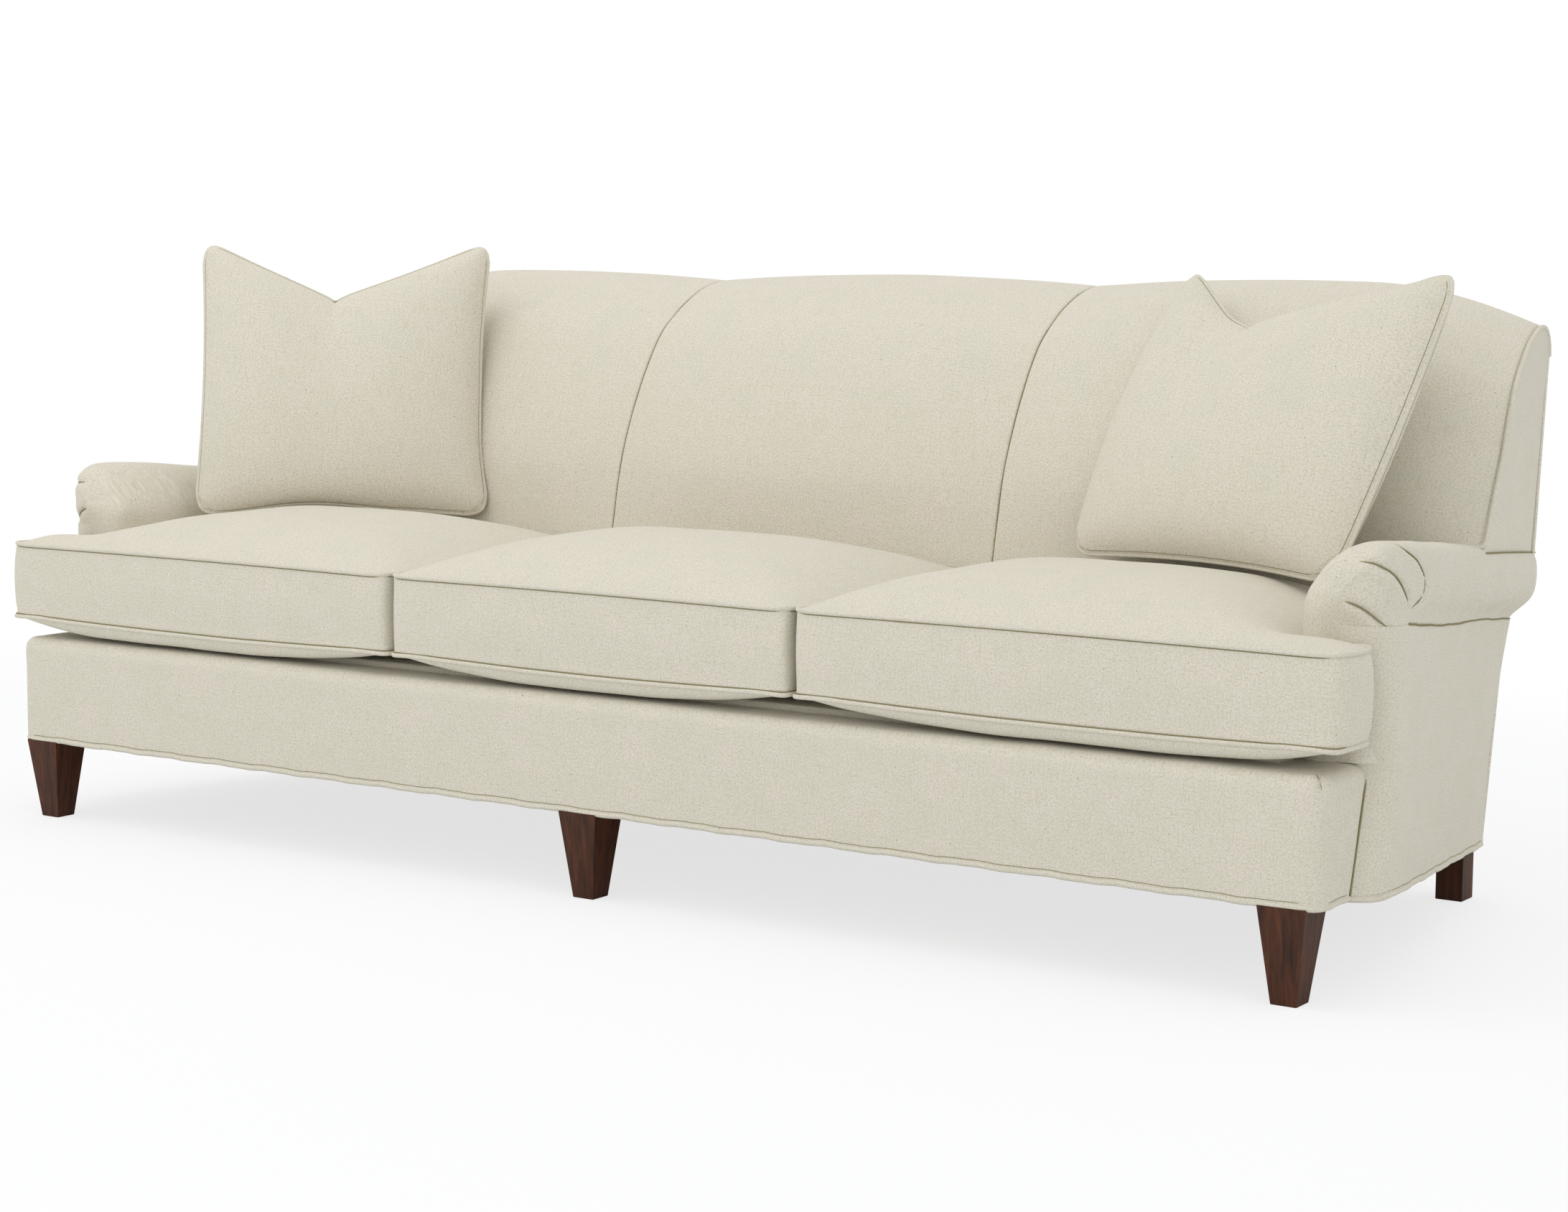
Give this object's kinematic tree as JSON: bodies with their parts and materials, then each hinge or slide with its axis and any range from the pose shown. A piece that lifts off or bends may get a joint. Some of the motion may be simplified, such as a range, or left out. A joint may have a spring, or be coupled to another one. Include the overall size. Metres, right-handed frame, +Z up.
{
  "type": "sofa",
  "caption": "Upholstered sofa with low rolled arms set back behind a T-shaped front, a tight rounded back, loose boxed seat cushions, throw pillows and tapered wooden legs.",
  "frame": {"origin": "on the floor, under the middle of the box around the whole sofa", "axes": "+Z up, +Y to the back of the sofa, +X to the right as seen from the front"},
  "size_m": [2.292, 0.924, 0.9201],
  "materials": {
    "linen": "off-white linen-look plain weave with slubs",
    "walnut": "dark walnut stain, satin",
    "hardwood": "bare kiln-dried hardwood and plywood",
    "steel": "plain steel wire and screws",
    "black_cloth": "black decking and dust cloth, matt"
  },
  "bodies": {
    "sofa": {"back_lower_rail": "hardwood", "back_rail": "hardwood", "back_top_rail": "hardwood", "base_cover": "linen", "centre_back_panel": "linen", "centre_seat_springs": "steel", "dust_cover": "black_cloth", "front_centre_leg": "walnut", "front_centre_leg_bolt": "steel", "front_left_leg": "walnut", "front_left_leg_bolt": "steel", "front_rail": "hardwood", "front_right_leg": "walnut", "front_right_leg_bolt": "steel", "left_arm_board": "hardwood", "left_arm_pad": "linen", "left_arm_post": "hardwood", "left_arm_slat": "hardwood", "left_back_panel": "linen", "left_back_post": "hardwood", "left_back_side": "linen", "left_back_upright": "hardwood", "left_front_corner_block": "hardwood", "left_outer_arm": "linen", "left_rear_corner_block": "hardwood", "left_seat_springs": "steel", "left_seat_stretcher": "hardwood", "left_side_rail": "hardwood", "outside_back": "linen", "rear_centre_leg": "walnut", "rear_centre_leg_bolt": "steel", "rear_left_leg": "walnut", "rear_left_leg_bolt": "steel", "rear_right_leg": "walnut", "rear_right_leg_bolt": "steel", "rear_seat_rail": "hardwood", "right_arm_board": "hardwood", "right_arm_pad": "linen", "right_arm_post": "hardwood", "right_arm_slat": "hardwood", "right_back_panel": "linen", "right_back_post": "hardwood", "right_back_side": "linen", "right_back_upright": "hardwood", "right_front_corner_block": "hardwood", "right_outer_arm": "linen", "right_rear_corner_block": "hardwood", "right_seat_springs": "steel", "right_seat_stretcher": "hardwood", "right_side_rail": "hardwood", "seat_deck": "black_cloth"},
    "left_seat": {"left_seat_cushion": "linen"},
    "centre_seat": {"centre_seat_cushion": "linen"},
    "right_seat": {"right_seat_cushion": "linen"},
    "left_throw_pillow": {"left_pillow": "linen"},
    "right_throw_pillow": {"right_pillow": "linen"}
  },
  "joints": [
    {"name": "left_seat_lift", "type": "slide", "parent": "sofa", "child": "left_seat", "axis": [0, 0, 1], "range_m": [0, 0.3]},
    {"name": "centre_seat_lift", "type": "slide", "parent": "sofa", "child": "centre_seat", "axis": [0, 0, 1], "range_m": [0, 0.3]},
    {"name": "right_seat_lift", "type": "slide", "parent": "sofa", "child": "right_seat", "axis": [0, 0, 1], "range_m": [0, 0.3]},
    {"name": "left_pillow_lift", "type": "slide", "parent": "left_seat", "child": "left_throw_pillow", "axis": [0, 0, 1], "range_m": [0, 0.45]},
    {"name": "right_pillow_lift", "type": "slide", "parent": "right_seat", "child": "right_throw_pillow", "axis": [0, 0, 1], "range_m": [0, 0.45]}
  ]
}
